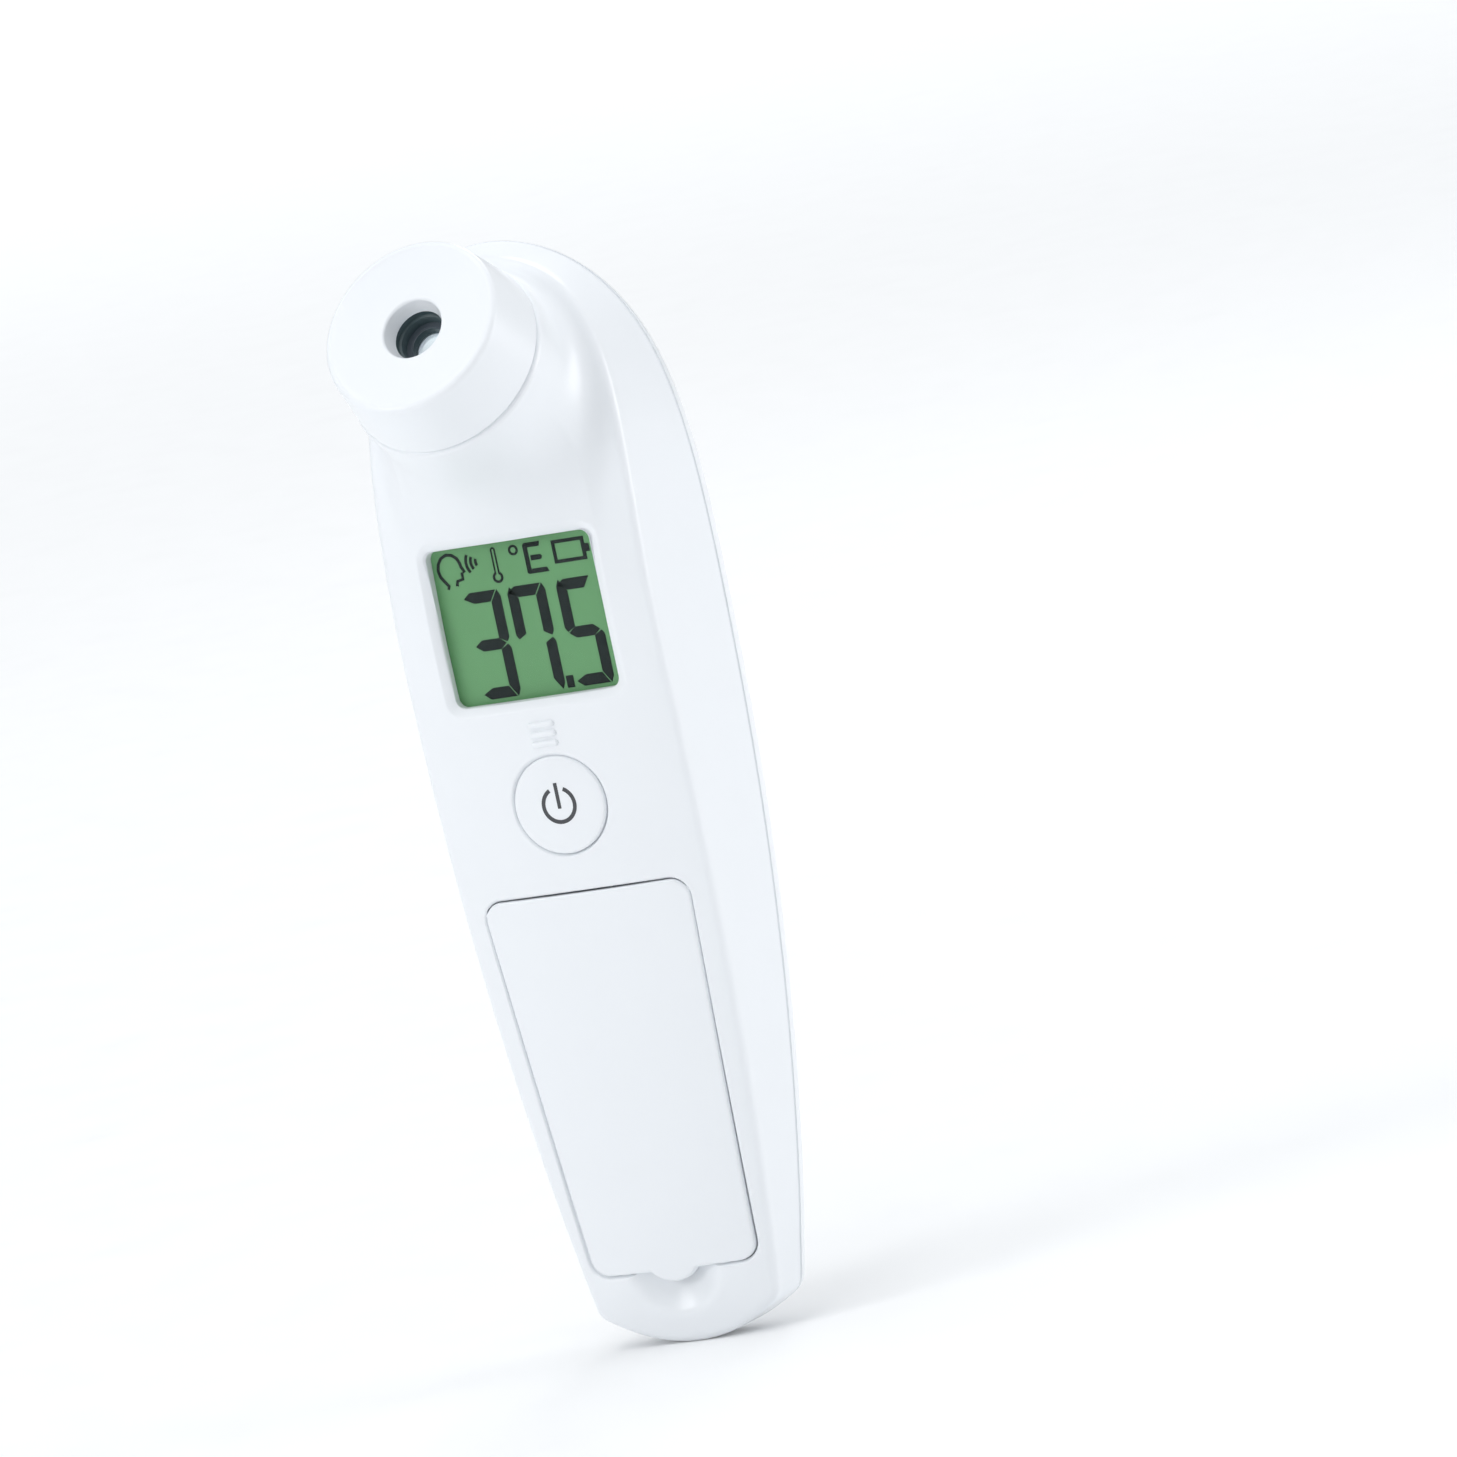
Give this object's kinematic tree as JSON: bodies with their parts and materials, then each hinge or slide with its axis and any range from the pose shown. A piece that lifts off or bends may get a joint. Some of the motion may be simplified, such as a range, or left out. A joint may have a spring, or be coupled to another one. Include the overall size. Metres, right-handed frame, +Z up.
{
  "type": "forehead thermometer",
  "caption": "Hand-held non-contact thermometer with an angled sensor nose, a lit display, a mode button on the face, a start button on the back and a battery door.",
  "frame": {"origin": "middle of the handle, inside the body, 45 mm above the foot", "axes": "+Z up the body from foot to head, -Y out of the display face, +X to the right as the display is read"},
  "size_m": [0.0376, 0.0448, 0.1396],
  "materials": {
    "housing_white": "satin moulded",
    "cover_white": "satin moulded",
    "cap_white": "satin moulded",
    "mode_white": "satin moulded",
    "door_white": "satin moulded",
    "start_blue": "satin moulded",
    "ring_black": "matte",
    "lens_glass": "coated",
    "barrel_dark": "satin",
    "inner_plastic": "moulded",
    "gasket_rubber": "moulded",
    "can_steel": "drawn",
    "filter_glass": "coated",
    "gold_plate": "plated",
    "board_green": "solder mask",
    "cable_amber": "film",
    "window_clear": "clear",
    "lcd_green": "lit panel",
    "segment_black": "printed",
    "guide_clear": "frosted",
    "led_yellow": "cast",
    "zebra_rubber": "layered",
    "chip_black": "moulded",
    "chip_tan": "ceramic",
    "plunger_ivory": "moulded",
    "spring_steel": "plated",
    "cell_jacket": "shrink sleeve",
    "lead_red": "sleeve",
    "screw_steel": "zinc plated"
  },
  "bodies": {
    "housing": {"front_housing": "housing_white", "rear_cover": "cover_white", "probe_cap": "cap_white", "lens_ring": "ring_black", "infrared_lens": "lens_glass", "sensor_barrel": "barrel_dark", "sensor_holder": "inner_plastic", "barrel_gasket": "gasket_rubber", "thermopile_can": "can_steel", "thermopile_window": "filter_glass", "thermopile_base": "gold_plate", "sensor_board": "board_green", "sensor_cable": "cable_amber", "display_window": "window_clear", "window_gasket": "gasket_rubber", "lcd_panel": "lcd_green", "display_segments": "segment_black", "backlight_guide": "guide_clear", "backlight_leds": "led_yellow", "lcd_holder": "inner_plastic", "zebra_strips": "zebra_rubber", "main_board": "board_green", "microcontroller": "chip_black", "chip_components": "chip_tan", "crystal": "can_steel", "buzzer": "chip_black", "mode_switch_body": "chip_black", "start_spring": "spring_steel", "start_switch_body": "chip_black", "battery_chassis": "inner_plastic", "battery_left": "cell_jacket", "battery_right": "cell_jacket", "contact_positive": "spring_steel", "contact_negative": "spring_steel", "contact_bridge": "spring_steel", "power_leads": "lead_red", "board_screws": "screw_steel", "chassis_screws": "screw_steel"},
    "start_button": {"start_button": "start_blue"},
    "start_plunger": {"start_switch_plunger": "plunger_ivory"},
    "mode_button": {"mode_button": "mode_white"},
    "mode_plunger": {"mode_switch_plunger": "plunger_ivory"},
    "battery_door": {"battery_door": "door_white"}
  },
  "joints": [
    {"name": "start_press", "type": "slide", "parent": "housing", "child": "start_button", "axis": [0, -0.9578, -0.2874], "range_m": [0, 0.001], "stiffness_N_per_m": 1000, "deforming": ["start_spring"]},
    {"name": "start_plunger_slide", "type": "slide", "parent": "housing", "child": "start_plunger", "axis": [0, -1, 0], "range_m": [0, 0.001]},
    {"name": "mode_press", "type": "slide", "parent": "housing", "child": "mode_button", "axis": [0, 1, 0], "range_m": [0, 0.0006], "stiffness_N_per_m": 1000},
    {"name": "mode_plunger_slide", "type": "slide", "parent": "housing", "child": "mode_plunger", "axis": [0, 1, 0], "range_m": [0, 0.0006]},
    {"name": "battery_door_hinge", "type": "hinge", "parent": "housing", "child": "battery_door", "pos_m": [0, -0.00946, 0.0114], "axis": [-1, 0, 0], "range_deg": [0, 70]}
  ],
  "couplings": [
    {"joint": "start_plunger_slide", "follows": "start_press", "ratio": 0.958},
    {"joint": "mode_plunger_slide", "follows": "mode_press", "ratio": 1}
  ]
}
